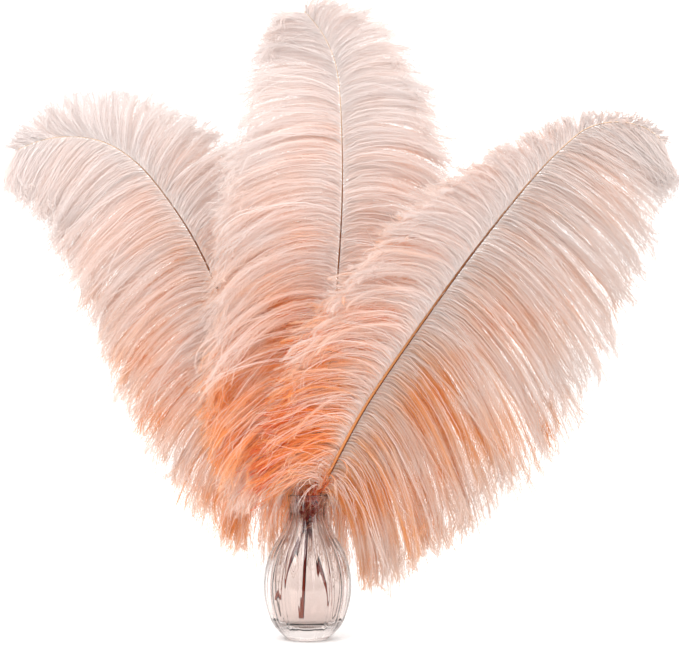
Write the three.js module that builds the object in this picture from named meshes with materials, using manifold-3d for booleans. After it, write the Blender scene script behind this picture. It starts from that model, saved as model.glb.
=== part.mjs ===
// Three dyed ostrich plumes standing in a small ribbed glass bud vase.
// Millimetres, +Z up. The origin is the centre of the vase's foot, and the plumes face -Y.
// Each plume is one solid: a tapered shaft with the vane's barbs gathered into locks that grow from it.
import * as THREE from "three";
import { mergeVertices } from "three/addons/utils/BufferGeometryUtils.js";
import Module from "manifold-3d";

const wasm = await Module();
wasm.setup();

// ---------------------------------------------------------------- driving dimensions

const vase = {
  wall: 2.4, // where the ribs stand out
  baseThickness: 9, // the heavy glass puddle under the cavity
  side: [
    // radius and height, from the flat foot up over the belly to the rim
    [13.5, 0],
    [22.0, 12],
    [28.2, 27],
    [28.6, 42],
    [24.4, 57],
    [17.0, 70],
    [12.8, 80],
    [12.7, 88],
    [13.4, 94],
  ],
  sideSteps: 9,
  ribs: 16,
  ribDepth: 0.9,
  ribCorners: 64, // round the outside, four to a rib
  cavityCorners: 28,
};

const shaft = {
  quillRadius: 1.7, // the bare quill that stands in the vase
  tipRadius: 0.7,
  taper: 0.85, // 1 is a straight taper, less keeps the shaft stout for longer
  sides: 6,
  rings: 15,
};

const lock = {
  count: 20, // on each side of a shaft
  width: 19, // across the widest part of a long lock
  slimness: 0.42, // a short lock is at most this share of its length wide
  thickness: 2.2,
  rootWidth: 1.5, // in shaft radii, as rootThickness is, so that a lock starts inside the shaft
  rootThickness: 1.1,
  tipWidth: 1.6,
  tipThickness: 0.9,
  rootAngle: 35, // degrees from the shaft, where a barb leaves it
  openLength: 9, // mm in which most of the opening out is done
  spread: 6, // degrees that neighbouring locks stand in front of and behind the vane
  shingle: 20, // degrees that a lock is turned so that its lower edge lies over the next one
  step: 1, // mm between the points at which its course is worked out
  stations: [0, 0.2, 0.56, 1], // shares of the length where it has a ring of corners
};

// shaft is the middle line, from the cut end in the vase to the tip.
// Each side's locks start at the height from. Its lists are spread evenly from the lowest lock to the tip:
// lengths in mm, droop as the turn towards the ground per mm, lean in degrees towards -Y, and open as the
// degrees from the shaft to which a barb opens out.
const plumes = {
  feather_left: {
    shaft: [
      [16.5, 7, 20],
      [0.5, 5.9, 72],
      [-6, 6, 94],
      [-15, 9, 120],
      [-31, 14, 153],
      [-58, 25, 223],
      [-76, 31, 262],
      [-97, 37, 294],
      [-117, 41, 317],
      [-139, 43, 331],
      [-163, 43, 335],
      [-183, 42, 332],
      [-200, 40, 325],
    ],
    left: {
      from: 112,
      lengths: [84, 102, 106, 108, 104, 92, 72, 26],
      droop: [0.034, 0.018, 0.0125, 0.0115, 0.0105, 0.01, 0.01, 0.014],
      lean: [-8, -4, -2, 0, 4],
      open: [84, 82, 80, 72, 44],
    },
    right: {
      from: 116,
      lengths: [62, 78, 92, 92, 76, 54, 34, 10],
      droop: [0.016, 0.014, 0.013, 0.012, 0.01, 0.008, 0.006, 0.004],
      lean: [-21, -16, -11, -5, 0],
      open: [92, 84, 76, 66, 34],
    },
  },
  feather_centre: {
    shaft: [
      [-3.5, 3, 13],
      [-0.5, 2.2, 72],
      [2.5, 2.2, 94],
      [11, 4, 152],
      [16, 5, 193],
      [20, 6, 240],
      [23, 7, 296],
      [22, 6, 349],
      [19, 3, 377],
      [12, -1, 395],
      [4, -6, 406],
      [-2, -10, 412],
    ],
    left: {
      from: 158,
      lengths: [104, 116, 118, 112, 100, 86, 62, 20],
      droop: [0.014, 0.014, 0.014, 0.013, 0.011, 0.01, 0.01, 0.01],
      lean: [8, 6, 4, 3, 6],
      open: [88, 84, 82, 76, 40],
    },
    right: {
      from: 158,
      lengths: [78, 88, 94, 92, 88, 78, 52, 9],
      droop: [0.013, 0.013, 0.013, 0.012, 0.012, 0.012, 0.012, 0.012],
      lean: [-2, 0, 0, 2, 6],
      open: [84, 80, 76, 74, 70],
    },
  },
  feather_right: {
    shaft: [
      [-21, -4.5, 26],
      [-2.5, -1.6, 72],
      [7, -1.6, 94],
      [25, -9, 130],
      [42, -16, 160],
      [73, -27, 206],
      [109, -37, 256],
      [145, -45, 301],
      [169, -49, 325],
      [182, -50, 333],
      [198, -50, 335.5],
      [215, -49, 332],
      [229, -47, 322],
    ],
    left: {
      from: 118,
      lengths: [100, 102, 96, 76, 48, 26, 8, 6],
      droop: [0.015, 0.015, 0.014, 0.013, 0.012, 0.01, 0.004, 0.002],
      lean: [24, 14, 8, 4, 0],
      open: [88, 96],
    },
    right: {
      from: 112,
      lengths: [92, 124, 138, 140, 124, 100, 70, 20],
      droop: [0.03, 0.014, 0.01, 0.008, 0.007, 0.007, 0.008, 0.01],
      lean: [8, 6, 4, 4, 3],
      open: [110, 98, 86, 76, 40],
    },
  },
};

const colours = { glass: 0xf2eeec, plume: 0xf3cdb9 };

// ---------------------------------------------------------------- solids

const down = new THREE.Vector3(0, 0, -1);
const front = new THREE.Vector3(0, -1, 0);
const radians = THREE.MathUtils.degToRad;

// A closed geometry as a solid: corners that coincide are merged, and faces that this closes up are dropped.
function solidOf(geometry) {
  const bare = new THREE.BufferGeometry();
  bare.setAttribute("position", geometry.getAttribute("position"));
  bare.setIndex(geometry.getIndex());
  const merged = mergeVertices(bare, 1e-4);
  const corners = merged.getIndex().array;
  const faces = [];
  for (let i = 0; i < corners.length; i += 3) {
    const [a, b, c] = corners.slice(i, i + 3);
    if (a !== b && b !== c && c !== a) faces.push(a, b, c);
  }
  return new wasm.Manifold(
    new wasm.Mesh({
      numProp: 3,
      vertProperties: merged.getAttribute("position").array,
      triVerts: new Uint32Array(faces),
    }),
  );
}

function geometryOf(solid) {
  const mesh = solid.getMesh();
  const geometry = new THREE.BufferGeometry();
  geometry.setAttribute("position", new THREE.BufferAttribute(mesh.vertProperties, 3));
  geometry.setIndex(new THREE.BufferAttribute(mesh.triVerts, 1));
  geometry.computeVertexNormals();
  return geometry;
}

function meshOf(name, solid, material) {
  const mesh = new THREE.Mesh(geometryOf(solid), material);
  mesh.name = name;
  return mesh;
}

// The value a list has at a share of its length, in straight lines between its entries.
function along(list, share) {
  const place = share * (list.length - 1);
  const before = Math.min(Math.floor(place), list.length - 2);
  return THREE.MathUtils.lerp(list[before], list[before + 1], place - before);
}

// A closed bar laid along a course. place(share) gives its middle, the directions across it and out of its
// face, and its half width and half thickness, at that share of its length.
function bar(sides, stations, place) {
  const geometry = new THREE.CylinderGeometry(1, 1, 1, sides, stations.length - 1);
  const position = geometry.getAttribute("position");
  const corner = new THREE.Vector3();
  for (let i = 0; i < position.count; i++) {
    corner.fromBufferAttribute(position, i);
    const ring = Math.round((corner.y + 0.5) * (stations.length - 1));
    const at = place(stations[ring]);
    const moved = at.middle
      .clone()
      .addScaledVector(at.across, corner.x * at.halfWidth)
      .addScaledVector(at.normal, corner.z * at.halfThickness);
    position.setXYZ(i, moved.x, moved.y, moved.z);
  }
  return solidOf(geometry);
}

// ---------------------------------------------------------------- vase

function turned(profile, rings) {
  const geometry = new THREE.LatheGeometry(profile, rings);
  geometry.rotateX(Math.PI / 2);
  return geometry;
}

// The outside swells into ribs that run up from the foot and die out under the rim.
function ribbedOutside(side) {
  const top = side[side.length - 1];
  const profile = [new THREE.Vector2(0, 0), ...side, new THREE.Vector2(0, top.y)];
  const geometry = turned(profile, vase.ribCorners);
  const position = geometry.getAttribute("position");
  for (let i = 0; i < position.count; i++) {
    const [x, y, z] = [position.getX(i), position.getY(i), position.getZ(i)];
    const radius = Math.hypot(x, y);
    if (radius < 1) continue;
    const groove = (1 - Math.cos(vase.ribs * Math.atan2(y, x))) / 2;
    const rise = THREE.MathUtils.clamp((z / top.y) * 1.04, 0, 1);
    const fade = Math.sin(Math.PI * rise) ** 0.6;
    const shrink = 1 - (vase.ribDepth * groove * fade) / radius;
    position.setXY(i, x * shrink, y * shrink);
  }
  return solidOf(geometry);
}

function cavity(side) {
  const wall = side.filter((p) => p.y > vase.baseThickness + 3);
  const inside = wall.map((p) => new THREE.Vector2(p.x - vase.wall, p.y));
  const rim = inside[inside.length - 1];
  const floor = [
    new THREE.Vector2(0, vase.baseThickness),
    new THREE.Vector2(inside[0].x * 0.66, vase.baseThickness + 0.8),
  ];
  const mouth = [new THREE.Vector2(rim.x, rim.y + 1), new THREE.Vector2(0, rim.y + 1)];
  return solidOf(turned([...floor, ...inside, ...mouth], vase.cavityCorners));
}

function makeVase() {
  const curve = new THREE.SplineCurve(vase.side.map(([r, z]) => new THREE.Vector2(r, z)));
  const side = curve.getPoints(vase.sideSteps);
  const material = new THREE.MeshStandardMaterial({
    color: colours.glass,
    roughness: 0.05,
    metalness: 0,
    transparent: true,
    opacity: 0.35,
  });
  return meshOf("vase", ribbedOutside(side).subtract(cavity(side)), material);
}

// ---------------------------------------------------------------- plumes

function shaftRadius(share) {
  return shaft.tipRadius + (shaft.quillRadius - shaft.tipRadius) * (1 - share) ** shaft.taper;
}

function makeShaft(curve) {
  const stations = Array.from({ length: shaft.rings + 1 }, (_, i) => i / shaft.rings);
  return bar(shaft.sides, stations, (share) => {
    const tangent = curve.getTangentAt(share);
    const normal = front.clone().addScaledVector(tangent, -tangent.dot(front)).normalize();
    const radius = shaftRadius(share);
    return {
      middle: curve.getPointAt(share),
      across: tangent.clone().cross(normal),
      normal,
      halfWidth: radius,
      halfThickness: radius,
    };
  });
}

// The way a barb points at a distance from the shaft. It leaves at rootAngle and opens out to open. Then its
// own weight turns it towards the ground: the tangent of half its angle to straight down shrinks by droop.
function barbDirection(tangent, outward, distance, open, droop) {
  const closed = (open - lock.rootAngle) * Math.exp(-distance / lock.openLength);
  const angle = radians(open - closed);
  const stiff = tangent.clone().multiplyScalar(Math.cos(angle)).addScaledVector(outward, Math.sin(angle));
  const fall = 2 * Math.atan(Math.tan(stiff.angleTo(down) / 2) * Math.exp(-droop * distance));
  const level = stiff.addScaledVector(down, -stiff.dot(down)).normalize();
  return level.multiplyScalar(Math.sin(fall)).addScaledVector(down, Math.cos(fall));
}

// The middle line of a lock: where it is and where it points, at each of its stations.
function lockCourse(root, tangent, outward, length, open, droop) {
  const point = root.clone();
  const course = [];
  let distance = 0;
  for (const station of lock.stations) {
    while (distance < station * length) {
      const step = Math.min(lock.step, station * length - distance);
      point.addScaledVector(barbDirection(tangent, outward, distance + step / 2, open, droop), step);
      distance += step;
    }
    course.push({ middle: point.clone(), ahead: barbDirection(tangent, outward, distance, open, droop) });
  }
  return course;
}

// A lock is slim at its root and tip and full between them.
function swollen(share, root, middle, tip) {
  const ends = THREE.MathUtils.lerp(root, tip, share);
  const swell = Math.max(0, Math.sin(Math.PI * share ** 0.75)) ** 0.8;
  return ends + (middle - ends) * swell;
}

function makeLock(curve, side, sign, share, rank) {
  const from = side.start + (1 - side.start) * share * 0.985;
  const tangent = curve.getTangentAt(from);
  const sideways = tangent.clone().cross(front).multiplyScalar(sign).normalize();
  const lean = radians(along(side.lean, share) + (rank % 2 ? lock.spread : -lock.spread));
  const outward = sideways.multiplyScalar(Math.cos(lean)).addScaledVector(front, Math.sin(lean)).normalize();
  const length = along(side.lengths, share);
  const open = along(side.open, share);
  const course = lockCourse(curve.getPointAt(from), tangent, outward, length, open, along(side.droop, share));
  const turn = radians(lock.shingle) * sign;
  const stem = shaftRadius(from);
  const widest = Math.min(lock.width, lock.slimness * length);
  return bar(4, lock.stations, (station) => {
    const { middle, ahead } = course[lock.stations.indexOf(station)];
    const face = front.clone().addScaledVector(ahead, -ahead.dot(front)).normalize();
    const normal = face.applyAxisAngle(ahead, turn);
    const width = swollen(station, lock.rootWidth * stem, widest, lock.tipWidth);
    const thickness = swollen(station, lock.rootThickness * stem, lock.thickness, lock.tipThickness);
    return {
      middle,
      across: ahead.clone().cross(normal),
      normal,
      halfWidth: width / 2,
      halfThickness: thickness / 2,
    };
  });
}

// The share of the shaft's length at which it reaches a height.
function shareAtHeight(curve, height) {
  const steps = 400;
  for (let i = 0; i < steps; i++) {
    if (curve.getPointAt(i / steps).z >= height) return i / steps;
  }
  return 1;
}

function makePlume(name, plume, material) {
  const curve = new THREE.CatmullRomCurve3(
    plume.shaft.map((p) => new THREE.Vector3(...p)),
    false,
    "catmullrom",
  );
  const pieces = [makeShaft(curve)];
  for (const [sign, side] of [
    [-1, plume.left],
    [1, plume.right],
  ]) {
    const placed = { ...side, start: shareAtHeight(curve, side.from) };
    for (let rank = 0; rank < lock.count; rank++) {
      pieces.push(makeLock(curve, placed, sign, rank / (lock.count - 1), rank));
    }
  }
  const whole = wasm.Manifold.union(pieces);
  return meshOf(name, whole, material);
}

// ---------------------------------------------------------------- the object

const bunch = new THREE.Group();
bunch.add(makeVase());
const plumeMaterial = new THREE.MeshStandardMaterial({ color: colours.plume, roughness: 0.8, metalness: 0 });
for (const [name, plume] of Object.entries(plumes)) bunch.add(makePlume(name, plume, plumeMaterial));

export default bunch;
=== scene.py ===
import math

import bpy
import numpy as np
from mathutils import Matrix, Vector


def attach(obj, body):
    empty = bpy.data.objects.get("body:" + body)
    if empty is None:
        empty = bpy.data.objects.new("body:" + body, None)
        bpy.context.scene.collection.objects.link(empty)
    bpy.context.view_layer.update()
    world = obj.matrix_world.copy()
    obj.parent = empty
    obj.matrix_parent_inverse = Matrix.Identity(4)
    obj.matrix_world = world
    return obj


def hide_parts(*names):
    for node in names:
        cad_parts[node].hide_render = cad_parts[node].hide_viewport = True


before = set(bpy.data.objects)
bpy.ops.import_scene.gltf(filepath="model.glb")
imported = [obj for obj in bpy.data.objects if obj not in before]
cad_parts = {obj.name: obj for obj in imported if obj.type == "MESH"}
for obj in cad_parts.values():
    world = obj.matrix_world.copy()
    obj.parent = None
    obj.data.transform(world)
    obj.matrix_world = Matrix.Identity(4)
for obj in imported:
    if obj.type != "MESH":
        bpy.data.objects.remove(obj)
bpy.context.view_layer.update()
mm = 0.001
downward = np.array([0.0, 0.0, -1.0])
front = np.array([0.0, -1.0, 0.0])


def linear(hexCode):
    # an sRGB hex as linear light: the darkest part is a straight line, the rest a power of 2.4
    values = [int(hexCode[i:i + 2], 16) / 255 for i in (1, 3, 5)]
    return [v / 12.92 if v <= 0.04045 else ((v + 0.055) / 1.055) ** 2.4 for v in values] + [1.0]


def addNode(tree, kind, settings=None, inputs=None):
    # an input is a value, or the output of another node to link from
    made = tree.nodes.new("ShaderNode" + kind)
    for name, value in (settings or {}).items():
        setattr(made, name, value)
    for name, value in (inputs or {}).items():
        if isinstance(value, bpy.types.NodeSocket):
            tree.links.new(value, made.inputs[name])
        else:
            made.inputs[name].default_value = value
    return made


def maths(tree, operation, *terms, clamp=False):
    # the terms are values, or outputs of other nodes
    return addNode(tree, "Math", {"operation": operation, "use_clamp": clamp}, dict(enumerate(terms))).outputs[0]


def mapped(tree, value, places, ends=(0.0, 1.0), clamp=True):
    # the value carried over in a straight line from the two places to the two ends
    return addNode(tree, "MapRange", {"clamp": clamp}, {
        "Value": value, "From Min": places[0], "From Max": places[1], "To Min": ends[0], "To Max": ends[1]}).outputs[0]


def mixed(tree, share, first, second, blend="MIX"):
    return addNode(tree, "MixRGB", {"blend_type": blend}, {0: share, 1: first, 2: second}).outputs[0]


def newMaterial(name):
    material = bpy.data.materials.new(name)
    material.use_nodes = True
    material.node_tree.nodes.clear()
    return material, material.node_tree


def setStops(ramp, stops):
    # stops are (place, hex) from 0 to 1
    elements = ramp.color_ramp.elements
    while len(elements) < len(stops):
        elements.new(0.5)
    for element, (place, hexCode) in zip(elements, stops):
        element.position = place
        element.color = linear(hexCode)


# ---- curves and surfaces, all in mm, as whole arrays

def unit(v):
    return v / np.maximum(np.linalg.norm(v, axis=-1, keepdims=True), 1e-9)


def catmullRom(points, perSpan=40):
    # between two points, the cubic whose slope at each is half the step between its neighbours
    p = np.asarray(points, float)
    p = np.vstack([2 * p[0] - p[1], p, 2 * p[-1] - p[-2]])
    t = np.linspace(0, 1, perSpan, endpoint=False)[:, None]
    a, b, c, d = (p[i:len(p) - 3 + i][:, None] for i in range(4))
    spans = 0.5 * (2 * b + (c - a) * t + (2 * a - 5 * b + 4 * c - d) * t**2 + (3 * b - a - 3 * c + d) * t**3)
    return np.vstack([spans.reshape(-1, 3), p[-2:-1]])


def evenly(line, count):
    # the same line with its points at even distances, and its length
    run = np.r_[0, np.cumsum(np.linalg.norm(np.diff(line, axis=0), axis=1))]
    at = np.linspace(0, run[-1], count)
    return np.stack([np.interp(at, run, line[:, k]) for k in range(3)], -1), run[-1]


def sample(values, share):
    # a list or line spread evenly over 0 to 1, read at these shares in straight lines
    values = np.asarray(values, float)
    places = np.linspace(0, 1, len(values))
    if values.ndim == 1:
        return np.interp(share, places, values)
    return np.stack([np.interp(share, places, values[:, k]) for k in range(values.shape[1])], -1)


def makePiece(name, points, faces, material, uv, values=None, normals=None, smooth=True):
    # points in mm, faces as rows of corner numbers, uv, values and normals one to a point
    mesh = bpy.data.meshes.new(name)
    mesh.vertices.add(len(points))
    mesh.vertices.foreach_set("co", (points * mm).astype(np.float32).ravel())
    mesh.loops.add(faces.size)
    mesh.loops.foreach_set("vertex_index", faces.astype(np.int32).ravel())
    mesh.polygons.add(len(faces))
    mesh.polygons.foreach_set("loop_start", np.arange(0, faces.size, faces.shape[1], dtype=np.int32))
    mesh.update(calc_edges=True)
    mesh.polygons.foreach_set("use_smooth", np.full(len(faces), smooth))
    mesh.uv_layers.new(name="UVMap").uv.foreach_set("vector", uv[faces.ravel()].astype(np.float32).ravel())
    for attribute, numbers in (values or {}).items():
        made = mesh.attributes.new(attribute, "FLOAT", "POINT")
        made.data.foreach_set("value", numbers.astype(np.float32))
    if normals is not None:
        mesh.normals_split_custom_set_from_vertices(normals.astype(np.float32))
    mesh.materials.append(material)
    piece = bpy.data.objects.new(name, mesh)
    bpy.context.scene.collection.objects.link(piece)
    return piece


def gridFaces(rows, columns, wrap):
    # the quads between neighbouring rows; wrap joins the last column to the first
    r = np.arange(rows - 1)[:, None]
    c = np.arange(columns if wrap else columns - 1)[None]
    after = (c + 1) % columns
    quads = np.stack([r * columns + c, r * columns + after, (r + 1) * columns + after, (r + 1) * columns + c], -1)
    return quads.reshape(-1, 4)


def tubeFaces(rows, columns):
    # the triangles of a tube of rings, and of the fans that close its ends at the two corners after the last ring
    quads = gridFaces(rows, columns, True)
    here = np.arange(columns)
    after = (here + 1) % columns
    start, last = rows * columns, (rows - 1) * columns
    bottom = np.stack([0 * here + start, after, here], -1)
    top = np.stack([0 * here + start + 1, last + here, last + after], -1)
    return np.vstack([quads[:, [0, 1, 2]], quads[:, [0, 2, 3]], bottom, top])


# ---- camera, light and floor

studio = {
    "cameraPlace": (0.0211, -1.3, 0.2076),
    "viewWidth": 0.4481,  # metres across the picture at the vase
    "sensor": 36.0,
    "floorRadius": 8.0,
    "floorSides": 96,
    "floorAhead": 0.28,  # metres from the vase to the table's front edge
    "floorColour": "#FAF8F7",
    "sky": "#FFFFFF",
    "floorHeight": -0.3,  # mm, just clear of the vase's foot
    "cards": "#8C8888",  # the grey boards at both sides that draw the glass's dark edges
    "shade": "#66615F",  # the dark room in front, where the lamps stand
    "walls": 1.2,  # how bright the walls and the ceiling are
    "overhead": 1.6,
    # where each part of the room begins and where it is whole, as parts of a direction of length 1
    "cardSides": (0.86, 0.9),
    "cardTops": (0.5, 0.3),
    "shadeAhead": (-0.55, -0.75),
    "ceiling": (0.15, 0.6),
    "lampsAim": (0, 0, 0.2),
    "keyPlace": (-0.9, -1.5, 1.7),
    "keySize": 1.6,
    "keyPower": 24.0,
    "fillPlace": (1.3, -1.2, 0.7),
    "fillSize": 1.2,
    "fillPower": 7.0,
}


def lookAt(place, target):
    # the turn that points an object's -Z axis from place to target, with its Y axis up
    return (Vector(target) - Vector(place)).to_track_quat("-Z", "Y").to_euler()


def makeCamera():
    data = bpy.data.cameras.new("camera")
    data.sensor_width = studio["sensor"]
    data.lens = studio["sensor"] * -studio["cameraPlace"][1] / studio["viewWidth"]
    camera = bpy.data.objects.new("camera", data)
    camera.location = studio["cameraPlace"]
    camera.rotation_euler = (math.pi / 2, 0, 0)
    bpy.context.scene.collection.objects.link(camera)
    bpy.context.scene.camera = camera


def makeSky():
    # A white room with a brighter ceiling, and a grey board at each side from the floor to head height. Gloss and
    # glass find a dark end in front, where matt surfaces have the light of a large white screen. What is seen
    # straight past the object is a plain white backdrop.
    world = bpy.data.worlds.new("studio")
    world.use_nodes = True
    tree = world.node_tree
    tree.nodes.clear()
    place = addNode(tree, "TexCoord")
    parts = addNode(tree, "SeparateXYZ", inputs={0: place.outputs["Generated"]}).outputs
    side = mapped(tree, maths(tree, "ABSOLUTE", parts["X"]), studio["cardSides"])
    low = mapped(tree, parts["Z"], studio["cardTops"])
    boarded = mixed(tree, maths(tree, "MULTIPLY", side, low), linear(studio["sky"]), linear(studio["cards"]))
    ahead = mapped(tree, parts["Y"], studio["shadeAhead"])
    seen = addNode(tree, "LightPath").outputs
    matt = maths(tree, "MAXIMUM", seen["Is Diffuse Ray"], seen["Diffuse Depth"])
    shiny = maths(tree, "SUBTRACT", 1.0, matt, clamp=True)
    colour = mixed(tree, maths(tree, "MULTIPLY", ahead, shiny), boarded, linear(studio["shade"]))
    strength = mapped(tree, parts["Z"], studio["ceiling"], (studio["walls"], studio["overhead"]))
    light = addNode(tree, "Background", inputs={"Color": colour, "Strength": strength})
    backdrop = addNode(tree, "Background", inputs={"Color": linear(studio["sky"]), "Strength": studio["overhead"]})
    room = addNode(tree, "MixShader", inputs={
        0: seen["Is Camera Ray"], 1: light.outputs[0], 2: backdrop.outputs[0]})
    addNode(tree, "OutputWorld", inputs={"Surface": room.outputs[0]})
    bpy.context.scene.world = world


def makeLight(name, place, size, power):
    data = bpy.data.lights.new(name, "AREA")
    data.shape = "DISK"
    data.size = size
    data.energy = power
    light = bpy.data.objects.new(name, data)
    light.location = place
    light.rotation_euler = lookAt(place, studio["lampsAim"])
    light.visible_camera = False
    bpy.context.scene.collection.objects.link(light)


def makeFloor():
    material, tree = newMaterial("pale_matt_floor")
    shader = addNode(tree, "BsdfPrincipled", inputs={
        "Base Color": linear(studio["floorColour"]), "Roughness": 0.9})
    addNode(tree, "OutputMaterial", inputs={"Surface": shader.outputs[0]})
    sides = studio["floorSides"]
    turn = np.linspace(0, 2 * np.pi, sides, endpoint=False)
    rim = np.stack([np.cos(turn), np.sin(turn), 0 * turn], -1) * studio["floorRadius"] / mm
    behind = (studio["floorRadius"] - studio["floorAhead"]) / mm
    points = np.vstack([[0, 0, 0], rim]) + [0, behind, studio["floorHeight"]]
    ring = np.arange(sides)
    faces = np.stack([0 * ring, ring + 1, (ring + 1) % sides + 1], -1)
    floor = makePiece("floor", points, faces, material, points[:, :2] * 0, smooth=False)


# ---- the glass vase

vase = {
    "wall": 2.0,
    "lip": 1.1,  # how far the rounded rim stands above the neck
    "baseThickness": 9.0,
    "cavityStart": 3.0,  # mm above the base, where the hollow's side begins
    "side": [  # radius and height, from the foot up to the rim
        (13.5, 0), (19.2, 5), (24.0, 12), (28.4, 27), (28.6, 42),
        (24.4, 57), (17.0, 70), (12.8, 80), (12.7, 88), (13.4, 94),
    ],
    "ribs": 16,
    "ribDepth": 0.8,
    "ribReach": 1.04,  # the grooves end at the height divided by this
    "ribFade": 0.6,
    "grooveSharpness": 6.0,
    "innerRibs": 0.85,  # the share of each groove that shows on the inside too
    "facets": 64,  # round the thick foot
    "facetDepth": 0.35,
    "facetStart": 0.5,  # mm above the table
    "facetTop": 15.0,
    "facetInner": 5.0,  # mm from the axis
    "around": 288,
    "rows": 48,
    "lipRows": 7,
    "hollowRows": 13,
    "footRows": 9,
}


def glassMaterial():
    # soda-lime glass, pressed and fire polished: clear and smooth, with a faint smoky rose cast
    material, tree = newMaterial("clear_pressed_glass")
    shader = addNode(tree, "BsdfPrincipled", inputs={
        "Base Color": linear("#E6DCD8"), "Roughness": 0.0, "IOR": 1.47, "Transmission Weight": 1.0})
    addNode(tree, "OutputMaterial", inputs={"Surface": shader.outputs[0]})
    return material


def makeVase():
    # A profile turned about Z. The outside's radius sinks into a groove between every two ribs, by a cosine with
    # one wave to a rib raised to grooveSharpness, and the grooves fade out at the foot and under the rim. Round the
    # thick foot it also sinks by the size of a sine, which leaves small facets. The inside follows the grooves.
    side = np.array([(r, 0, z) for r, z in vase["side"]], float)
    outer, _ = evenly(catmullRom(side), vase["rows"])
    inner = outer[outer[:, 2] > vase["baseThickness"] + vase["cavityStart"]] - [vase["wall"], 0, 0]
    height = outer[-1, 2]
    lip = np.linspace(0, np.pi, vase["lipRows"] + 2)[1:-1]
    middle = outer[-1, 0] - vase["wall"] / 2
    rim = np.stack([middle + vase["wall"] / 2 * np.cos(lip), 0 * lip, height + vase["lip"] * np.sin(lip)], -1)
    floor = np.linspace(1, 0, vase["hollowRows"] + 1)[1:, None]
    start = inner[0]
    bowl = np.hstack([start[0] * floor, 0 * floor,
                      vase["baseThickness"] + (start[2] - vase["baseThickness"]) * floor**4])
    foot = np.linspace(0, 1, vase["footRows"] + 1)[:-1, None] * outer[0]
    profile = np.vstack([foot, outer, rim, inner[::-1], bowl])
    radius, z = profile[:, 0], profile[:, 2]
    outside = np.arange(len(profile)) < len(foot) + len(outer)
    rise = np.clip(z / height * vase["ribReach"], 0, 1)
    fade = np.clip(np.sin(np.pi * rise), 0, 1) ** vase["ribFade"]
    inFloor = np.r_[np.ones(len(profile) - len(bowl)), floor[:, 0]]
    fade = fade * inFloor * np.where(outside, 1, vase["innerRibs"])
    turn = np.linspace(0, 2 * np.pi, vase["around"], endpoint=False)
    groove = ((1 - np.cos(vase["ribs"] * turn)) / 2) ** vase["grooveSharpness"]
    facet = np.abs(np.sin(vase["facets"] / 2 * turn))
    nearFoot = np.where(outside & (z > vase["facetStart"]), np.clip(1 - z / vase["facetTop"], 0, 1), 0)
    nearFoot = nearFoot * (radius > vase["facetInner"])
    sunk = vase["ribDepth"] * fade[:, None] * groove + vase["facetDepth"] * nearFoot[:, None] * facet
    r = np.maximum(radius[:, None] - sunk, 0)
    points = np.stack([r * np.cos(turn), r * np.sin(turn), z[:, None] + 0 * r], -1)
    # the middle of the foot and of the hollow's floor are single points
    ring = points[1:-1]
    rows, columns = ring.shape[:2]
    corners = np.vstack([ring.reshape(-1, 3), points[0, :1], points[-1, :1]])
    uv = np.stack([np.r_[np.tile(turn / (2 * np.pi), rows), 0.5, 0.5],
                   np.r_[np.repeat(np.linspace(0.01, 0.99, rows), columns), 0, 1]], -1)
    piece = makePiece("vase_glass", corners, tubeFaces(rows, columns), glassMaterial(), uv)
    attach(piece, "root")
    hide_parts("vase")


# ---- the plumes

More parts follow.
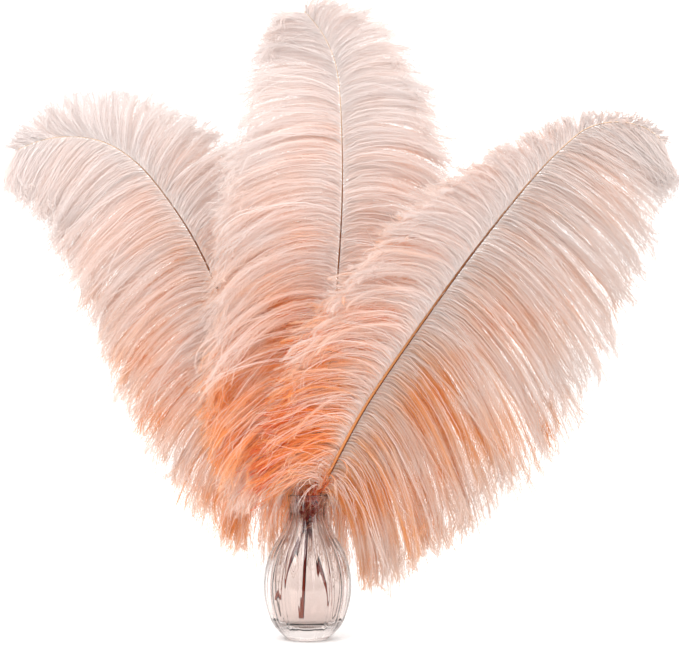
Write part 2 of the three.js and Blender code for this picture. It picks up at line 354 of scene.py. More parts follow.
vane = {
    # each layer: its barbs to a side, the degrees it stands forward, how much deeper its dye is, how far its
    # locks part from one another, its length, how bushy its barbs are, how much of their root is bare, the share
    # of barbs that go their own way, and how many times as broad their stems are halfway. The deeper dye of the
    # back layers is partly dye and partly painted shade, the deep orange seen between the layers.
    "layers": [
        {"teeth": 150, "lean": 5, "dye": -0.1, "part": 0.85, "scale": 1.0, "bush": 1.0, "bare": 1.0, "stray": 0.05,
         "broad": 1.0},
        {"teeth": 150, "lean": 0, "dye": 0.02, "part": 0.4, "scale": 0.97, "bush": 1.0, "bare": 0.0, "stray": 0.04,
         "broad": 1.0},
        {"teeth": 150, "lean": -5, "dye": 0.2, "part": 0.12, "scale": 0.95, "bush": 1.0, "bare": 0.0, "stray": 0.02,
         "broad": 8.0},
        {"teeth": 30, "lean": 8, "dye": -0.2, "part": 1.0, "scale": 1.03, "bush": 0.3, "bare": 1.0, "stray": 1.0,
         "broad": 1.0},
    ],
    "seed": 11,
    "lastRoot": 0.998,  # where on the shaft its last barb grows, from the lowest to the tip
    "locks": 28,
    "lockJitter": 0.35,  # how far a lock's edges stray, as a share of its breadth
    # how loose the locks are at the tip, how much looser low on the shaft, and the power by which that falls off
    "loose": (0.12, 1.1, 2.2),
    "lockLean": 3.5,
    "lockOpen": 1.6,
    "lockDroop": 0.08,
    "lockDye": 0.07,
    "lockGapShade": 0.12,  # painted shade: how much deeper the dye is at a lock's edges, where the locks part
    "lockShort": 0.14,  # how much shorter a lock can be, as a share
    "layerDyeAndShade": (1.3, 0.8),  # times a layer's own dye and painted shade low on the shaft, and how much less that is at the tip
    "gather": 0.6,  # how far a lock's barbs come together at its tip, low on the shaft
    "gatherPower": 2.2,
    "gatherDepth": 0.4,  # the share of it in Y
    "barbJitter": 0.15,  # of the distance between two barbs
    "barbLean": 2.0,
    "barbDroop": (0.94, 1.06),
    "barbScale": (0.86, 1.02),
    "strayLean": 6.0,  # of barbs that go their own way, as the rows below
    "strayOpen": 7.0,
    "strayDroop": (0.5, 1.3),
    "strayGather": 0.1,
    "endScatter": 0.025,  # of a barb's length
    "dyeScatter": 0.03,
    "steps": 14,
    "rootAngle": 35.0,
    "openLength": 8.0,
    "curlLength": (8, 22),
    "curl": (30, 50),  # mean and spread of the degrees that a barb's end curls down
    "curlPower": 1.5,
    "curlScatter": 0.6,
    "wave": (24, 50),  # shortest and longest wavelength of a barb's waves
    "waveHeight": 1.3,
    # each barb's loose strands: how far out in front they lie, how far they spread, and how far past its end
    "strands": [(1.9, 1.2, 5.0), (1.1, 1.6, 7.0), (-1.6, 1.2, 4.0)],
    "strandStart": 4.0,  # mm from the shaft
    "strandOpen": 10.0,  # mm in which they reach their full distance
    "strandLift": 0.5,
    "crossing": 4.5,  # how much further apart the strands are at their ends, where they cross
    "frizz": (9, 20),
    "frizzHeight": 0.5,
    "roll": 0.6,  # how far a stem or strand is turned about itself, in radians
    "barbWidth": (0.6, 0.42, 0.26),  # at the root, a little way out and at the tip
    "barbWidthAt": (0, 0.15, 1),
    "swellBy": 0.1,  # the share of its length in which a broad stem gets its breadth
    "roundness": 0.2,  # how far a barb's two sides turn from one another
    "tipShade": 0.14,  # how much darker the strands' bare ends are
    "bright": (0.36, 0.16),  # the share of strands that are paler and painted lighter as highlights, low on the shaft and at its tip
    "brightTone": 1.05,
    "mostTone": 1.02,
    "brightDye": -0.36,  # of the barb's own dye
    "shadedStrands": 0.2,  # the share of strands painted darker, as shade
    "shadedTone": (0.88, 0.96),
    "shadedDye": 0.09,
    "rootPale": 0.42,  # the share of the dye that a barb lacks at its root
    "paleLength": 13.0,  # mm from the shaft, over which most of that comes back
    "rootShade": 0.08,  # painted shade: how much darker the barbules are between the barbs' bare roots
    "bareLength": 1.5,  # mm at its root in which a barb has no barbules
    "mostBare": 0.5,
    "fullLength": 8.0,  # from here on a barb has its full barbules
    "rootBarbule": 0.15,  # the share of their length that they have at its bare root
    "shortBarb": 40.0,  # a barb shorter than this has shorter barbules too
    "leastBarbule": 0.45,
    "barbules": 92000,  # on each vane
    "fewest": 4,  # on each barb
    "barbuleLength": [6.6, 6.6, 6.4, 6.0, 5.2, 3.4],  # from the barb's root to its tip
    "barbuleWidth": 0.48,
    "barbuleDye": 1.03,  # they take up more dye than the barb itself
    "barbuleScale": (0.6, 1.15),
    "barbuleAngle": (28.0, 44.0),  # at the root and at the tip
    "barbuleScatter": 9.0,
    "barbuleFall": 0.12,  # how far it turns down
    "barbuleTilt": 32.0,
    "uvStem": 0.002,  # a stem's breadth in the UV map
    "uvBarbule": (0.01, 0.003),  # how far a barbule reaches there, along its barb and across it
    "depth": (-56, 58),  # barbs that would reach past these in Y are pressed back
    "pressed": 0.2,
    "mostDye": 1.3,  # of the darkest red, at the end of the material's ramp
}

fluff = {
    "barbs": 56,
    "heights": (97, 120),
    "lengths": (24, 84),
    "turn": (-35, 38),  # mean and spread of the degrees towards the front
    "frontStart": -10,  # from these degrees on a barb counts as hanging in front, and wholly so this much further
    "frontOver": 40,
    "opening": (80, 130),
    "droop": (0.026, 0.06),
    "dye": (0.45, 1.0),
    "bush": (0.3, 0.8),
    "frontLength": 0.35,  # how much of its length a barb that hangs in front has
    "frontBush": 0.12,
    "curl": 0.3,  # the share of the other barbs' curl
    "tone": 0.95,
}

neck = {
    "barbs": 44,  # on each shaft's side, down in the vase's neck and at its mouth
    "heights": (70, 102),
    "lengths": (7, 15),
    "turn": (-90, 90),
    "opening": (14, 34),
    "reach": 7.4,  # mm from the vase's axis, inside the glass
    "above": 4.0,  # mm above the rim, up to where they keep to that
    "dye": (1.3, 0.94),  # at the lowest and the highest root
    "dyeScatter": 0.04,
    "bush": 0.6,
}

# A shaft is a middle line in mm, from the cut end to the tip, and taper is the power by which it thins. A side's
# lists run evenly from its lowest barb, at the height from, to the tip: lengths in mm, the droop to a mm, degrees
# that the barbs lean to the front, degrees from the shaft to which they open and by which neighbours differ in that
# (wild), dye and how much of it fades towards a barb's end, how bushy they are, and how light. Their ends are
# darker by edge.
plumes = {
    "left": {
        "shaft": [
            (16.5, 7, 20), (0.5, 5.9, 72), (-6, 6, 94), (-15, 9, 120), (-31, 14, 153), (-58, 25, 223),
            (-76, 31, 262), (-97, 37, 294), (-117, 41, 317), (-139, 43, 331), (-163, 43, 335), (-183, 42, 332),
            (-200, 40, 325),
        ],
        "taper": 1.5,
        "sides": {
            "left": {
                "from": 106, "lengths": [78, 96, 101, 104, 101, 90, 68, 30],
                "droop": [0.034, 0.018, 0.0125, 0.0115, 0.0105, 0.01, 0.01, 0.014],
                "lean": [-8, -4, -2, 0, 4], "open": [84, 82, 80, 72, 34],
                "dye": [1.0, 0.88, 0.72, 0.62, 0.52, 0.38, 0.26, 0.2], "fade": [0.1, 0.1, 0.05], "bush": [1, 1],
                "wild": [6, 4, 2, 1.5], "tone": [0.88, 0.93, 1.0], "edge": 0.05,
            },
            "right": {
                "from": 108, "lengths": [60, 76, 90, 90, 76, 54, 33, 9],
                "droop": [0.016, 0.014, 0.013, 0.012, 0.01, 0.008, 0.006, 0.004],
                "lean": [-26, -20, -14, -6, 0], "open": [92, 84, 76, 66, 30],
                "dye": [1.0, 0.9, 0.72, 0.56, 0.4, 0.24, 0.16, 0.14], "fade": [0.2, 0.1, 0.05], "bush": [1, 1],
                "wild": [6, 4, 2, 1.5], "tone": [0.94, 0.93, 0.97], "edge": 0.06,
            },
        },
    },
    "centre": {
        "shaft": [
            (-3.5, 3, 13), (-0.5, 2.2, 72), (2.5, 2.2, 94), (11, 4, 152), (16, 5, 193), (20, 6, 240), (23, 7, 296),
            (22, 6, 349), (19, 3, 377), (12, -1, 395), (4, -6, 406), (-2, -10, 412),
        ],
        "taper": 1.6,
        "sides": {
            "left": {
                "from": 112, "lengths": [80, 104, 115, 113, 101, 87, 64, 23],
                "droop": [0.02, 0.015, 0.014, 0.013, 0.011, 0.01, 0.01, 0.01],
                "lean": [8, 6, 4, 3, 4], "open": [100, 88, 84, 78, 34],
                "dye": [1.0, 0.98, 0.78, 0.6, 0.46, 0.34, 0.22, 0.2], "fade": [0.25, 0.1, 0.1, 0], "bush": [1, 1],
                "wild": [8, 6, 3, 1.5], "tone": [1.0, 0.99, 1.0], "edge": 0.05,
            },
            "right": {
                "from": 112, "lengths": [60, 78, 87, 91, 89, 81, 56, 10],
                "droop": [0.016, 0.013, 0.013, 0.012, 0.012, 0.012, 0.012, 0.012],
                "lean": [-2, 0, 0, 2, 4], "open": [96, 86, 80, 74, 70],
                "dye": [1.0, 0.96, 0.76, 0.62, 0.44, 0.28, 0.2, 0.18], "fade": [0.3, 0.0, 0], "bush": [1, 1],
                "wild": [6, 3, 1.5], "tone": [0.96, 0.96, 0.98], "edge": 0.06,
            },
        },
    },
    "right": {
        "shaft": [
            (-21, -4.5, 26), (-2.5, -1.6, 72), (7, -1.6, 94), (25, -9, 130), (42, -16, 160), (73, -27, 206),
            (109, -37, 256), (145, -45, 301), (169, -49, 325), (182, -50, 333), (198, -50, 335.5), (215, -49, 332),
            (229, -47, 322),
        ],
        "taper": 1.1,
        "sides": {
            "left": {
                "from": 100, "lengths": [60, 74, 86, 78, 54, 30, 10, 6],
                "droop": [0.008, 0.009, 0.012, 0.013, 0.012, 0.01, 0.004, 0.002],
                "lean": [18, 12, 8, 4, 0], "open": [122, 104, 92, 78, 12],
                "dye": [1.0, 0.92, 0.6, 0.4, 0.3, 0.26, 0.24, 0.24], "fade": [-0.1, -0.1, 0],
                "wild": [16, 11, 5, 2, 1.5], "bush": [0.45, 0.6, 0.9, 1, 1], "tone": [1.0, 0.98, 0.93], "edge": 0.04,
            },
            "right": {
                "from": 98, "lengths": [84, 117, 133, 135, 122, 98, 68, 30],
                "droop": [0.024, 0.014, 0.01, 0.008, 0.007, 0.006, 0.005, 0.004],
                "lean": [6, 4, 2, 2, 2], "open": [118, 102, 88, 76, 28],
                "dye": [1.05, 1.0, 0.88, 0.7, 0.56, 0.44, 0.36, 0.3], "fade": [0.3, 0.2, 0.1, 0.05],
                # this vane's lower tone is partly a greyer colour and partly painted shade, for the side of the bunch
                # away from the key lamp
                "wild": [4, 3, 2, 1.5], "bush": [1, 1], "tone": [0.85, 0.82, 0.84, 0.93], "edge": 0.06,
            },
        },
    },
}

quill = {
    "radius": 1.7,
    "tipRadius": 0.28,
    "around": 12,
    "rings": 160,
    "dense": 600,  # points of the line from which the barbs grow
    "rising": 200,  # how many of them, from the cut end, rise steadily
    "pared": (0.6, 0.2),  # the quill's end, as a share of its radius, and the share of the length that narrows to it
    "groove": 0.3,  # how deep the channel down its front is, as a share of the radius
}


def plumeMaterial():
    # ostrich barbs, bleached and dyed: matt, thin enough for light to pass, and deeper where less dye was rinsed out.
    # The dye attribute is 0 for the palest barb, 1 for full orange and 1.3 for the dark red down in the neck. Both it
    # and the tone attribute also carry painted shade between the layers, locks and roots, and painted highlights on
    # some strands.
    material, tree = newMaterial("dyed_ostrich_barbs")
    dye = addNode(tree, "Attribute", {"attribute_name": "dye"}).outputs["Fac"]
    tone = addNode(tree, "Attribute", {"attribute_name": "tone"})
    place = addNode(tree, "TexCoord")
    cloud = addNode(tree, "TexNoise", inputs={"Vector": place.outputs["Object"], "Scale": 26.0, "Detail": 2.0})
    uneven = mapped(tree, cloud.outputs[0], (0.3, 0.7), (0.76, 1.28), clamp=False)
    kept = maths(tree, "MINIMUM", maths(tree, "MULTIPLY", dye, uneven), maths(tree, "MAXIMUM", dye, 1.0))
    ramp = addNode(tree, "ValToRGB", inputs={0: maths(tree, "DIVIDE", kept, vane["mostDye"])})
    setStops(ramp, [(0.0, "#FBF4F2"), (0.16, "#FAF0EC"), (0.35, "#FBE8DF"), (0.54, "#FDDCC7"), (0.7, "#FFBF8A"),
                    (0.8, "#FFA65A"), (0.9, "#E8523C"), (1.0, "#9C2016")])
    colour = mixed(tree, 1.0, ramp.outputs[0], tone.outputs["Color"], "MULTIPLY")
    body = addNode(tree, "BsdfPrincipled", inputs={
        "Base Color": colour, "Roughness": 0.7, "Specular IOR Level": 0.25})
    through = addNode(tree, "BsdfTranslucent", inputs={"Color": colour})
    both = addNode(tree, "MixShader", inputs={0: 0.5, 1: body.outputs[0], 2: through.outputs[0]})
    addNode(tree, "OutputMaterial", inputs={"Surface": both.outputs[0]})
    return material


def shaftMaterial():
    # The feather's horny shaft, dyed through and half gloss. One ramp runs from the cut end to the tip: dark red in
    # the vase's neck, then tan, brown and pale. The other goes round it and is painted shading: darker at its two
    # sides than before and behind, as a round bar is shaded, with a deep painted shadow down its right side, away from
    # the key lamp, and a painted highlight on its front towards the left.
    material, tree = newMaterial("dyed_keratin_shaft")
    place = addNode(tree, "UVMap", {"uv_map": "UVMap"})
    parts = addNode(tree, "SeparateXYZ", inputs={0: place.outputs[0]})
    along = addNode(tree, "ValToRGB", inputs={0: parts.outputs["X"]})
    setStops(along, [(0.0, "#B05020"), (0.07, "#7A1C0C"), (0.17, "#6A140A"), (0.22, "#C98A5C"), (0.42, "#B07C54"),
                     (0.62, "#7A4E34"), (0.76, "#A88468"), (0.86, "#EAD8C8"), (1.0, "#F6EADF")])
    # painted shading round the shaft: darker at both sides, most of all on the right, with a painted highlight on the
    # front towards the left
    edge = addNode(tree, "ValToRGB", inputs={0: parts.outputs["Y"]})
    setStops(edge, [(0.0, "#4A2014"), (0.12, "#5A2A18"), (0.17, "#E0B890"), (0.28, "#FFF4E0"), (0.42, "#FFFFFF"),
                    (0.5, "#A86A48"), (0.7, "#FFFFFF"), (0.92, "#FFFFFF"), (1.0, "#4A2014")])
    colour = mixed(tree, 1.0, along.outputs[0], edge.outputs[0], "MULTIPLY")
    shader = addNode(tree, "BsdfPrincipled", inputs={
        "Base Color": colour, "Roughness": 0.45, "Specular IOR Level": 0.2})
    addNode(tree, "OutputMaterial", inputs={"Surface": shader.outputs[0]})
    return material


def makeShaft(name, line, taper, material):
    # a round bar along the line, whose radius is largest above the vase and falls off to the tip and to the pared
    # end of the quill, with a shallow channel down its front
    share = np.linspace(0, 1, len(line))
    radius = quill["tipRadius"] + (quill["radius"] - quill["tipRadius"]) * (1 - share) ** taper
    radius = radius * np.interp(share, [0, quill["pared"][1]], [quill["pared"][0], 1])
    ahead = unit(np.gradient(line, axis=0))
    out = unit(front - (ahead @ front)[:, None] * ahead)
    across = np.cross(ahead, out)
    turn = np.linspace(0, 2 * np.pi, quill["around"], endpoint=False)
    channel = 1 - quill["groove"] * np.clip(np.sin(turn), 0, 1) ** 4
    spread = radius[:, None, None]
    ring = (across[:, None] * (np.cos(turn) * channel)[None, :, None]
            + out[:, None] * (np.sin(turn) * channel)[None, :, None]) * spread
    rows, columns = len(line), len(turn)
    points = np.vstack([(line[:, None] + ring).reshape(-1, 3), line[0], line[-1]])
    uv = np.stack([np.r_[np.repeat(share, columns), 0, 1], np.r_[np.tile(turn / (2 * np.pi), rows), 0, 0]], -1)
    # these rings turn the other way round
    return makePiece(name, points, tubeFaces(rows, columns)[:, [0, 2, 1]], material, uv)


def turnedAbout(vectors, axis, angle):
    # Rodrigues' rotation: what lies along the axis stays, and the rest turns in the plane across it
    cosine, sine = np.cos(angle)[..., None], np.sin(angle)[..., None]
    along = (vectors * axis).sum(-1, keepdims=True)
    return vectors * cosine + np.cross(axis, vectors) * sine + axis * along * (1 - cosine)


def barbShares():
    # where along a barb its steps are: close together at the root and at the end, where it bends most
    return np.interp(np.linspace(0, 1, vane["steps"]), [0, 0.25, 0.68, 1], [0, 0.09, 0.78, 1])


def barbLines(root, tangent, outward, length, opening, droop, curl, curlAxis, curlLength):
    # Each barb leaves the shaft at rootAngle and opens out exponentially to its opening angle. Then the tangent of
    # half the angle between it and straight down shrinks exponentially with the distance, by droop. Its last part
    # turns further about its curl axis, faster and faster. The line is the running sum of those directions.
    distance = length[:, None] * barbShares()
    angle = np.radians(opening[:, None] - (opening[:, None] - vane["rootAngle"])
                       * np.exp(-distance / vane["openLength"]))
    stiff = np.cos(angle)[..., None] * tangent[:, None] + np.sin(angle)[..., None] * outward[:, None]
    drop = np.clip(stiff @ downward, -0.999, 0.999)
    level = unit(stiff - drop[..., None] * downward)
    fall = 2 * np.arctan(np.tan(np.arccos(drop) / 2) * np.exp(-droop[:, None] * distance))
    ahead = np.cos(fall)[..., None] * downward + np.sin(fall)[..., None] * level
    end = np.clip(1 - (length[:, None] - distance) / curlLength[:, None], 0, 1)
    ahead = turnedAbout(ahead, curlAxis[:, None], np.radians(curl)[:, None] * end ** vane["curlPower"])
    steps = (ahead[:, 1:] + ahead[:, :-1]) / 2 * np.diff(distance, axis=1)[..., None]
    return root[:, None] + np.concatenate([np.zeros((len(root), 1, 3)), np.cumsum(steps, 1)], 1)


def randomCurls(count, sign, random):
    # most barbs curl down in the plane of the vane, the others every way
    curl = random.normal(*vane["curl"], count)
    axis = unit(front * -sign + random.normal(0, vane["curlScatter"], (count, 3)))
    return curl, axis, random.uniform(*vane["curlLength"], count)


def outwardFrom(tangent, sign, degrees):
    # square to the shaft, to one side of it, and turned by these degrees towards the front
    turned = np.radians(degrees)[:, None]
    return unit(unit(np.cross(tangent, front)) * sign * np.cos(turned) + front * np.sin(turned))


def rootsAt(line, height):
    # where the lower part of a shaft reaches these heights, and which way it runs there
    rising = quill["rising"]
    at = np.interp(height, line[:rising, 2], np.linspace(0, 1, len(line))[:rising])
    return sample(line, at), unit(sample(unit(np.gradient(line, axis=0)), at))


def growBarbs(line, side, sign, layer, random):
    # the middle lines of one layer of barbs, gathered into locks, with what the rest needs to know of each barb
    share = barbShares()
    start = np.argmax(line[:, 2] > side["from"]) / (len(line) - 1)
    tangents = unit(np.gradient(line, axis=0))

    def laid(along, lean, scale, openBy, droopBy, curls):
        at = start + (1 - start) * along * vane["lastRoot"]
        root = sample(line, at)
        tangent = unit(sample(tangents, at))
        outward = outwardFrom(tangent, sign, sample(side["lean"], along) + lean)
        length = sample(side["lengths"], along) * scale
        opening = sample(side["open"], along) + openBy
        droop = sample(side["droop"], along) * droopBy
        return barbLines(root, tangent, outward, length, opening, droop, *curls), length

    # locks: neighbouring barbs that lean, droop and end alike, and more so low on the shaft
    lockCount = vane["locks"]
    jitter = random.uniform(-vane["lockJitter"], vane["lockJitter"], lockCount + 1)
    edges = np.linspace(0, 1, lockCount + 1) + jitter / lockCount
    edges[0], edges[-1] = -1, 2
    middle = (np.clip(edges[:-1], 0, 1) + np.clip(edges[1:], 0, 1)) / 2
    least, more, power = vane["loose"]
    loose = (least + more * (1 - middle) ** power) * layer["part"]
    lockLean = random.normal(0, vane["lockLean"], lockCount) * loose + layer["lean"]
    lockScale = 1 - random.uniform(0, vane["lockShort"], lockCount) * loose
    lockOpen = random.normal(0, vane["lockOpen"], lockCount) * loose
    lockDroop = 1 + random.normal(0, vane["lockDroop"], lockCount) * loose
    # a layer's own dye: partly dye, partly painted shade that deepens the back layers' orange
    lowDye, lessDye = vane["layerDyeAndShade"]
    lockDye = random.normal(0, vane["lockDye"], lockCount) * loose + layer["dye"] * (lowDye - lessDye * middle)

    count = layer["teeth"]
    jitter = random.uniform(-vane["barbJitter"], vane["barbJitter"], count)
    along = np.clip((np.arange(count) + jitter) / count, 0, 1)
    lock = np.searchsorted(edges, along) - 1
    stray = random.random(count) < layer["stray"]
    lean = lockLean[lock] + random.normal(0, vane["barbLean"], count)
    lean = lean + stray * random.normal(0, vane["strayLean"], count)
    scale = lockScale[lock] * random.uniform(*vane["barbScale"], count) * layer["scale"]
    openBy = lockOpen[lock] + random.normal(0, 1, count) * sample(side["wild"], along)
    openBy = openBy + stray * random.normal(0, vane["strayOpen"], count)
    droopBy = lockDroop[lock] * random.uniform(*vane["barbDroop"], count)
    droopBy = droopBy * np.where(stray, random.uniform(*vane["strayDroop"], count), 1)
    lines, length = laid(along, lean, scale, openBy, droopBy, randomCurls(count, sign, random))

    # a lock's barbs come together towards its tip
    straight = randomCurls(lockCount, sign, random)
    guides, _ = laid(middle, lockLean, lockScale, lockOpen, lockDroop, (0 * straight[0], *straight[1:]))
    pull = vane["gather"] * share ** vane["gatherPower"]
    pull = pull * (np.where(stray, vane["strayGather"], 1) * loose[lock])[:, None]
    lines = lines + (guides[lock] - lines) * pull[..., None] * np.array([1, vane["gatherDepth"], 1])
    scatter = length[:, None] * vane["endScatter"] * share**2
    lines = lines + random.normal(0, 1, (count, 1, 3)) * scatter[..., None]

    # painted shade where the locks part: the dye is deeper towards each lock's edges
    toEdge = np.clip(np.abs(along - middle[lock]) * lockCount * 2, 0, 1)
    dye = (sample(side["dye"], along) + lockDye[lock] + vane["lockGapShade"] * toEdge**2 * loose[lock]
           + random.normal(0, vane["dyeScatter"], count))
    return {"lines": lines, "length": length, "along": along, "dye": np.minimum(dye, 1),
            "fade": sample(side["fade"], along), "tone": sample(side["tone"], along),
            "bush": layer["bush"] * sample(side["bush"], along), "bare": np.full(count, layer["bare"]),
            "broad": np.full(count, layer["broad"])}


def growFluff(line, side, sign, random):
    # the soft short barbs low on the shaft, all round it, that hang over the vase's mouth
    count = fluff["barbs"]
    root, tangent = rootsAt(line, random.uniform(*fluff["heights"], count))
    degrees = random.normal(*fluff["turn"], count)
    outward = outwardFrom(tangent, sign, degrees)
    inFront = np.clip((degrees - fluff["frontStart"]) / fluff["frontOver"], 0, 1)
    length = random.uniform(*fluff["lengths"], count) * (1 - (1 - fluff["frontLength"]) * inFront)
    curl, axis, curlLength = randomCurls(count, sign, random)
    opening = random.uniform(*fluff["opening"], count)
    droop = random.uniform(*fluff["droop"], count)
    lines = barbLines(root, tangent, outward, length, opening, droop, curl * fluff["curl"], axis, curlLength)
    nothing = np.zeros(count)
    return {"lines": lines, "length": length, "along": nothing, "dye": random.uniform(*fluff["dye"], count),
            "fade": nothing, "tone": nothing + max(side["tone"][0], fluff["tone"]), "bare": nothing,
            "bush": random.uniform(*fluff["bush"], count) * (1 - inFront) + fluff["frontBush"] * inFront,
            "broad": nothing + 1}


def growNeck(line, sign, random):
    # the shortest barbs, soaked dark red with dye, that lie close along the shaft in the vase's neck
    count = neck["barbs"]
    height = random.uniform(*neck["heights"], count)
    root, tangent = rootsAt(line, height)
    outward = outwardFrom(tangent, sign, random.uniform(*neck["turn"], count))
    length = random.uniform(*neck["lengths"], count)
    _, axis, curlLength = randomCurls(count, sign, random)
    opening = random.uniform(*neck["opening"], count)
    nothing = np.zeros(count)
    lines = barbLines(root, tangent, outward, length, opening, nothing, nothing, axis, curlLength)
    away = np.linalg.norm(lines[..., :2], axis=-1, keepdims=True)
    inside = lines[..., 2:] < vase["side"][-1][1] + neck["above"]
    lines[..., :2] *= np.where(inside, np.minimum(1, neck["reach"] / np.maximum(away, 1e-6)), 1)
    dye = np.interp(height, neck["heights"], neck["dye"]) + random.normal(0, neck["dyeScatter"], count)
    return {"lines": lines, "length": length, "along": nothing, "dye": dye, "fade": nothing, "tone": nothing + 1,
            "bare": nothing, "bush": nothing + neck["bush"], "broad": nothing + 1}


def growVane(line, side, sign, random):
    # all the barbs on one side of a shaft, as arrays with one row to a barb
    grown = [growBarbs(line, side, sign, layer, random) for layer in vane["layers"]]
    grown += [growFluff(line, side, sign, random), growNeck(line, sign, random)]
    barbs = {key: np.concatenate([g[key] for g in grown]) for key in grown[0]}
    lines, share = barbs["lines"], barbShares()
    count = len(lines)
    distance = barbs["length"][:, None] * share

    # each barb waves a little, and none leaves the depth of the bunch
    height = np.abs(random.normal(0, vane["waveHeight"], (count, 1))) * share
    phase = distance / random.uniform(*vane["wave"], (count, 1)) + random.random((count, 1))
    lines = lines + (height * np.sin(2 * np.pi * phase))[..., None] * unit(random.normal(0, 1, (count, 1, 3)))
    within = np.clip(lines[..., 1], *vane["depth"])
    lines[..., 1] = within + (lines[..., 1] - within) * vane["pressed"]

    ahead = unit(np.gradient(lines, axis=1))
    face = unit(front - (ahead @ front)[..., None] * ahead)
    barbs.update(lines=lines, distance=distance, ahead=ahead, face=face, across=np.cross(ahead, face))
    return barbs


def dyeTaken(along, distance):
    # a barb of the vane lacks rootPale of its dye at the shaft, and the lack shrinks exponentially with the distance
    return 1 - np.where(along > 0, vane["rootPale"], 0) * np.exp(-distance / vane["paleLength"])


def ribbons(lines, wide, width):
    # a strip along every line: two corners at each step, half a width to either side
    count, steps = lines.shape[:2]
    half = wide * width / 2
    points = np.stack([lines - half, lines + half], 2).reshape(-1, 3)
    quads = gridFaces(steps, 2, False)
    quads = (quads[None] + (np.arange(count) * steps * 2)[:, None, None]).reshape(-1, 4)
    return points, np.vstack([quads[:, [0, 1, 2]], quads[:, [0, 2, 3]]])


def makeStems(barbs, side, random):
    # Each barb is a stem and a few loose strands. Past its bare root they spread beside it, frizz a little, and
    # near their ends they cross their neighbours and run on past the barb's own end.
    lines, ahead, face, across, distance, along = (
        barbs[key] for key in ("lines", "ahead", "face", "across", "distance", "along"))
    count, steps = lines.shape[:2]
    share = barbShares()
    toEnd = share[None, :, None]
    spread = np.clip((distance - vane["strandStart"]) / vane["strandOpen"], 0, 1)[..., None]
    parts = [lines]
    for out, apart, beyond in vane["strands"]:
        aside = random.normal(0, apart, (count, 1, 1)) + random.normal(0, vane["crossing"], (count, 1, 1)) * toEnd**3
        lift = out + random.normal(0, vane["strandLift"], (count, 1, 1))
        turns = distance / random.uniform(*vane["frizz"], (count, 1)) + random.random((count, 1))
        frizz = (vane["frizzHeight"] * np.sin(2 * np.pi * turns) * share)[..., None]
        longer = ahead * random.uniform(0, beyond, (count, 1, 1)) * toEnd**3
        parts.append(lines + (across * (aside + frizz) + face * lift) * spread + longer)
    strands = np.concatenate(parts)
    copies = len(parts)
    roll = random.normal(0, vane["roll"], len(strands))[:, None, None]
    wide = np.tile(across, (copies, 1, 1)) * np.cos(roll) + np.tile(face, (copies, 1, 1)) * np.sin(roll)
    swell = np.clip(share / vane["swellBy"], 0, 1) * (1 - share**3)
    times = 1 + np.concatenate([barbs["broad"] - 1, np.zeros((copies - 1) * count)])[:, None] * swell
    width = np.interp(share, vane["barbWidthAt"], vane["barbWidth"]) * times
    points, faces = ribbons(strands, wide, width[..., None])

    # painted highlights and shade: some strands are paler, with less dye, and painted lighter as if they caught the
    # light, some are painted darker as if in shade, and their bare ends are darker
    dye = barbs["dye"][:, None] * dyeTaken(along[:, None], distance) - barbs["fade"][:, None] * share
    dye = np.tile(dye, (copies, 1))
    tone = np.tile(barbs["tone"][:, None] * (1 - side["edge"] * share**4), (copies, 1))
    luck = random.random((copies * count, 1))
    bright = luck < np.tile(sample(vane["bright"], along), copies)[:, None]
    shadedStrands = luck > 1 - vane["shadedStrands"]
    dye = dye * (1 + vane["brightDye"] * bright) + vane["shadedDye"] * shadedStrands
    dye = dye + random.normal(0, vane["dyeScatter"], (copies * count, 1))
    shadedTone = np.tile(sample(vane["shadedTone"], along), copies)[:, None]
    tone = tone * np.where(shadedStrands, shadedTone, 1) * (1 - vane["tipShade"] * share**6)
    tone = np.where(bright, np.minimum(tone * vane["brightTone"], vane["mostTone"]), tone)

    uv = np.stack([np.broadcast_to(toEnd, (count, steps, 2)),
                   along[:, None, None] + np.broadcast_to([0, vane["uvStem"]], (count, steps, 2))], -1)
    tilted = np.stack([-across, across], 2) * vane["roundness"] + face[:, :, None]
    return {"points": points, "faces": faces, "uv": np.tile(uv.reshape(-1, 2), (copies, 1)),
            "normals": np.tile(unit(tilted).reshape(-1, 3), (copies, 1)),
            "dye": np.repeat(dye.ravel(), 2), "tone": np.repeat(tone.ravel(), 2)}


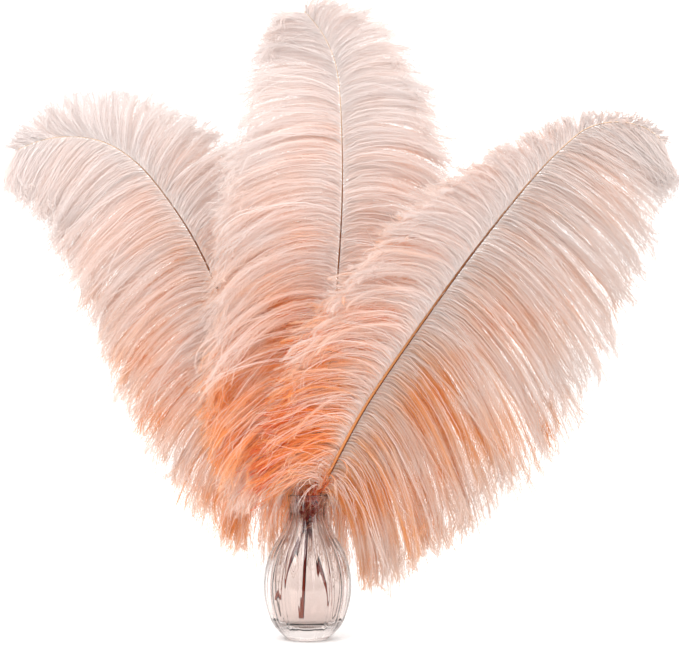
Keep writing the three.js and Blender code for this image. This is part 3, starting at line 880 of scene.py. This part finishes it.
def makeBarbules(barbs, side, random):
    # the barbules: fine hairs along both edges of every barb, each of them one triangle
    share = barbShares()
    wanted = barbs["length"] * barbs["bush"]
    each = np.maximum(wanted * vane["barbules"] / wanted.sum(), vane["fewest"]).astype(int)
    owner = np.repeat(np.arange(len(each)), each)
    rank = np.arange(each.sum()) - np.repeat(np.cumsum(each) - each, each)
    length, along, dye, fade, tone, bush, bare = (
        barbs[key][owner] for key in ("length", "along", "dye", "fade", "tone", "bush", "bare"))
    bareShare = np.minimum(bare * vane["bareLength"] / length, vane["mostBare"])
    t = bareShare + (1 - bareShare) * (rank + random.random(len(rank))) / each[owner]
    at = np.interp(t, share, np.arange(len(share)))
    before = np.minimum(at.astype(int), len(share) - 2)
    part = (at - before)[:, None]

    def between(key):
        return barbs[key][owner, before] * (1 - part) + barbs[key][owner, before + 1] * part

    root, forward, outOf, sideOf = between("lines"), unit(between("ahead")), between("face"), between("across")
    which = np.where(rank % 2 == 0, 1, -1)[:, None]
    tilt = np.radians(random.normal(0, vane["barbuleTilt"], len(rank)))[:, None]
    angle = sample(vane["barbuleAngle"], t) + random.normal(0, vane["barbuleScatter"], len(rank))
    angle = np.radians(angle)[:, None]
    away = unit(sideOf * np.cos(tilt) * which + outOf * np.sin(tilt))
    hair = unit(forward * np.cos(angle) + away * np.sin(angle) + downward * vane["barbuleFall"])
    reach = sample(vane["barbuleLength"], t) * random.uniform(*vane["barbuleScale"], len(rank))
    reach = reach * np.clip(t * length / vane["fullLength"], vane["rootBarbule"], 1) ** bare
    reach = reach * np.clip(length / vane["shortBarb"], vane["leastBarbule"], 1) * bush
    half = forward * vane["barbuleWidth"] / 2
    points = np.stack([root - half, root + half, root + hair * reach[:, None]], 1).reshape(-1, 3)

    dye = dye * dyeTaken(along, t * length) * vane["barbuleDye"] - fade * t
    dye = dye + random.normal(0, vane["dyeScatter"], len(rank))
    # painted shade between the barbs' bare roots, fading out along the barb
    shade = 1 - vane["rootShade"] * np.exp(-t * length / vane["openLength"])
    onward, aside = vane["uvBarbule"]
    near = np.stack([t, t, np.clip(t + onward, 0, 1)], 1)
    row = along[:, None] + np.array([0, 0, aside]) * which
    return {"points": points, "faces": np.arange(len(points)).reshape(-1, 3),
            "uv": np.stack([near.ravel(), row.ravel()], -1),
            "normals": np.repeat(unit(outOf + away * vane["roundness"]), 3, axis=0),
            "dye": np.repeat(dye, 3), "tone": np.repeat(tone * (1 - side["edge"] * t**4) * shade, 3)}


def makeVane(name, line, side, sign, material, seed):
    # Light falls on a vane as on one soft sheet. So each hair's normal is its barb's own face, tilted a little to
    # the side that it grows on, and every triangle is wound so that its front is the side that its normals point to.
    random = np.random.default_rng(seed)
    barbs = growVane(line, side, sign, random)
    stems = makeStems(barbs, side, random)
    hairs = makeBarbules(barbs, side, random)
    points, uv, normals, dye, tone = (
        np.concatenate([stems[key], hairs[key]]) for key in ("points", "uv", "normals", "dye", "tone"))
    faces = np.vstack([stems["faces"], hairs["faces"] + len(stems["points"])])
    first, second, third = (points[faces[:, k]] for k in range(3))
    facing = (np.cross(second - first, third - first) * normals[faces].sum(1)).sum(-1)
    faces = np.where(facing[:, None] < 0, faces[:, ::-1], faces)
    return makePiece(name, points, faces, material, uv, {"dye": dye, "tone": tone}, normals)


def makePlumes():
    barbs, horn = plumeMaterial(), shaftMaterial()
    seed = vane["seed"]
    for name, plume in plumes.items():
        curve = catmullRom(plume["shaft"])
        line, length = evenly(curve, quill["rings"])
        pieces = [makeShaft(f"{name}_shaft", line, plume["taper"], horn)]
        dense, _ = evenly(curve, quill["dense"])
        for where, side in plume["sides"].items():
            sign = -1 if where == "left" else 1
            pieces.append(makeVane(f"{name}_plume_{where}_vane", dense, side, sign, barbs, seed))
            seed += 1
        for piece in pieces:
            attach(piece, "root")
            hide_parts(f"feather_{name}")
        print(f"{name} plume: shaft {length:.0f} mm, faces {[len(piece.data.polygons) for piece in pieces]}")


makeCamera()
makeSky()
makeLight("key", studio["keyPlace"], studio["keySize"], studio["keyPower"])
makeLight("fill", studio["fillPlace"], studio["fillSize"], studio["fillPower"])
makeFloor()
print("studio ready")
makeVase()
print("vase ready")
makePlumes()

bpy.context.scene.view_settings.view_transform = "Standard"
